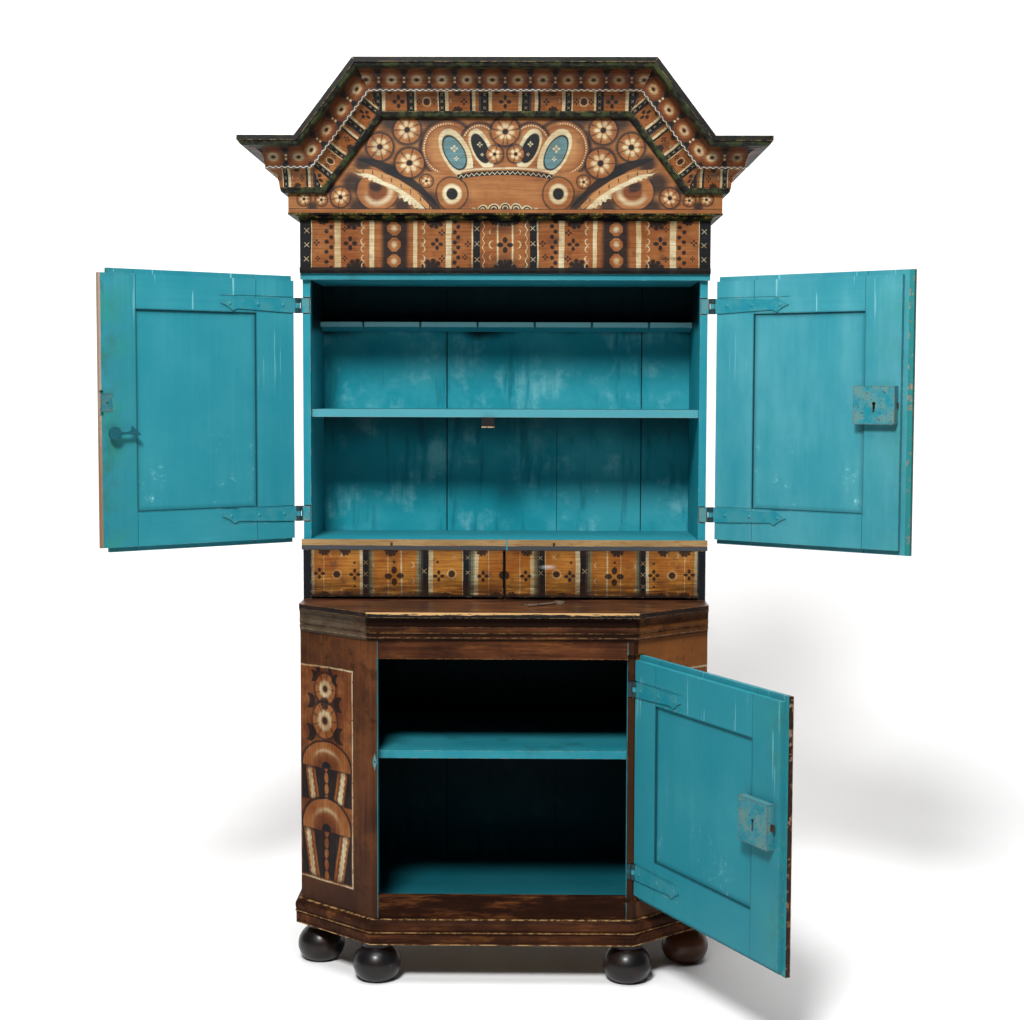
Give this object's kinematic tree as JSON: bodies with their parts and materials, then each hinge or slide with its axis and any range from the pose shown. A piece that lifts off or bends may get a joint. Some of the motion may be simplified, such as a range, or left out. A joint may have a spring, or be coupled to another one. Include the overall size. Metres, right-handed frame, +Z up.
{
  "type": "cupboard on a wider base",
  "caption": "Tall two-stage painted cupboard with panelled doors, small drawers, a wide canted base on bun feet and a raked, broken cornice.",
  "frame": {"origin": "middle of the footprint on the floor, with the doors standing open as stored", "axes": "+Z up, the front faces -Y, +X to the right as seen from the front"},
  "size_m": [1.8001, 1.0302, 2.105],
  "materials": {
    "blue_paint": "worn matt oil paint, blue green, on softwood",
    "brown_paint": "worn semi-matt oil paint, dark red brown, on softwood",
    "ornament_paint": "painted ornament on an orange brown ground",
    "green_paint": "painted ornament on a dark blue green ground",
    "black_paint": "old black paint, slightly glossy",
    "pine": "bare aged pine",
    "painted_iron": "forged iron under worn blue green paint, with rust",
    "bare_iron": "forged iron, rubbed and dark"
  },
  "bodies": {
    "case": {"side_board_left": "brown_paint", "side_board_right": "brown_paint", "back_boards": "pine", "cant_board_left": "brown_paint", "cant_board_right": "brown_paint", "top_rail": "brown_paint", "bottom_rail": "brown_paint", "lower_floor": "blue_paint", "lower_shelf": "blue_paint", "waist_board": "brown_paint", "waist_moulding": "brown_paint", "base_moulding": "brown_paint", "foot_front_left": "black_paint", "foot_front_right": "black_paint", "foot_side_left": "black_paint", "foot_side_right": "black_paint", "deck_board": "blue_paint", "top_board": "blue_paint", "middle_shelf": "blue_paint", "spoon_shelf": "blue_paint", "frieze_board": "ornament_paint", "ledge_moulding": "green_paint", "pediment_board": "ornament_paint", "cornice_crown": "green_paint", "cornice_rake_left": "green_paint", "cornice_rake_right": "green_paint", "cornice_return_left": "green_paint", "cornice_return_right": "green_paint", "drawer_divider": "pine", "hinge_leaf_upper_left_bottom": "painted_iron", "hinge_leaf_upper_left_top": "painted_iron", "hinge_leaf_upper_right_bottom": "painted_iron", "hinge_leaf_upper_right_top": "painted_iron", "hinge_leaf_lower_bottom": "painted_iron", "hinge_leaf_lower_top": "painted_iron", "jamb_strike": "painted_iron", "latch_block": "black_paint"},
    "left_door": {"door_frame_upper_left": "blue_paint", "door_panel_upper_left": "blue_paint", "hinge_strap_upper_left_bottom": "painted_iron", "hinge_strap_upper_left_top": "painted_iron", "keeper_plate": "painted_iron"},
    "right_door": {"door_frame_upper_right": "blue_paint", "door_panel_upper_right": "blue_paint", "hinge_strap_upper_right_bottom": "painted_iron", "hinge_strap_upper_right_top": "painted_iron", "lock_case_upper_right": "painted_iron"},
    "lower_door": {"door_frame_lower": "blue_paint", "door_panel_lower": "blue_paint", "hinge_strap_lower_bottom": "painted_iron", "hinge_strap_lower_top": "painted_iron", "lock_case_lower": "painted_iron"},
    "left_latch": {"turn_latch": "painted_iron"},
    "right_bolt": {"lock_bolt_upper_right": "bare_iron"},
    "lower_bolt": {"lock_bolt_lower": "bare_iron"},
    "left_drawer": {"drawer_front_left": "ornament_paint", "drawer_box_left": "pine"},
    "right_drawer": {"drawer_front_right": "ornament_paint", "drawer_box_right": "pine"},
    "key": {"key": "bare_iron"}
  },
  "joints": [
    {"name": "left_door_hinge", "type": "hinge", "parent": "case", "child": "left_door", "pos_m": [-0.49234, 0.24027, 1.3], "axis": [0, 0, -1], "range_deg": [-142.7, 25]},
    {"name": "right_door_hinge", "type": "hinge", "parent": "case", "child": "right_door", "pos_m": [0.48766, 0.24027, 1.3], "axis": [0, 0, 1], "range_deg": [-143, 25]},
    {"name": "lower_door_hinge", "type": "hinge", "parent": "case", "child": "lower_door", "pos_m": [0.29716, 0.01367, 0.475], "axis": [0, 0, 1], "range_deg": [-116, 3]},
    {"name": "left_latch_turn", "type": "hinge", "parent": "left_door", "child": "left_latch", "pos_m": [-0.86682, -0.04375, 1.256], "axis": [0.606, -0.7955, 0], "range_deg": [-90, 16]},
    {"name": "right_bolt_slide", "type": "slide", "parent": "right_door", "child": "right_bolt", "axis": [0.7986, -0.6018, 0], "range_m": [0, 0.012]},
    {"name": "lower_bolt_slide", "type": "slide", "parent": "lower_door", "child": "lower_bolt", "axis": [0.4384, -0.8988, 0], "range_m": [0, 0.018]},
    {"name": "left_drawer_slide", "type": "slide", "parent": "case", "child": "left_drawer", "axis": [0, -1, 0], "range_m": [0, 0.2]},
    {"name": "right_drawer_slide", "type": "slide", "parent": "case", "child": "right_drawer", "axis": [0, -1, 0], "range_m": [0, 0.2]},
    {"name": "key_lift", "type": "slide", "parent": "case", "child": "key", "axis": [0, 0, 1], "range_m": [0, 0.15]}
  ]
}
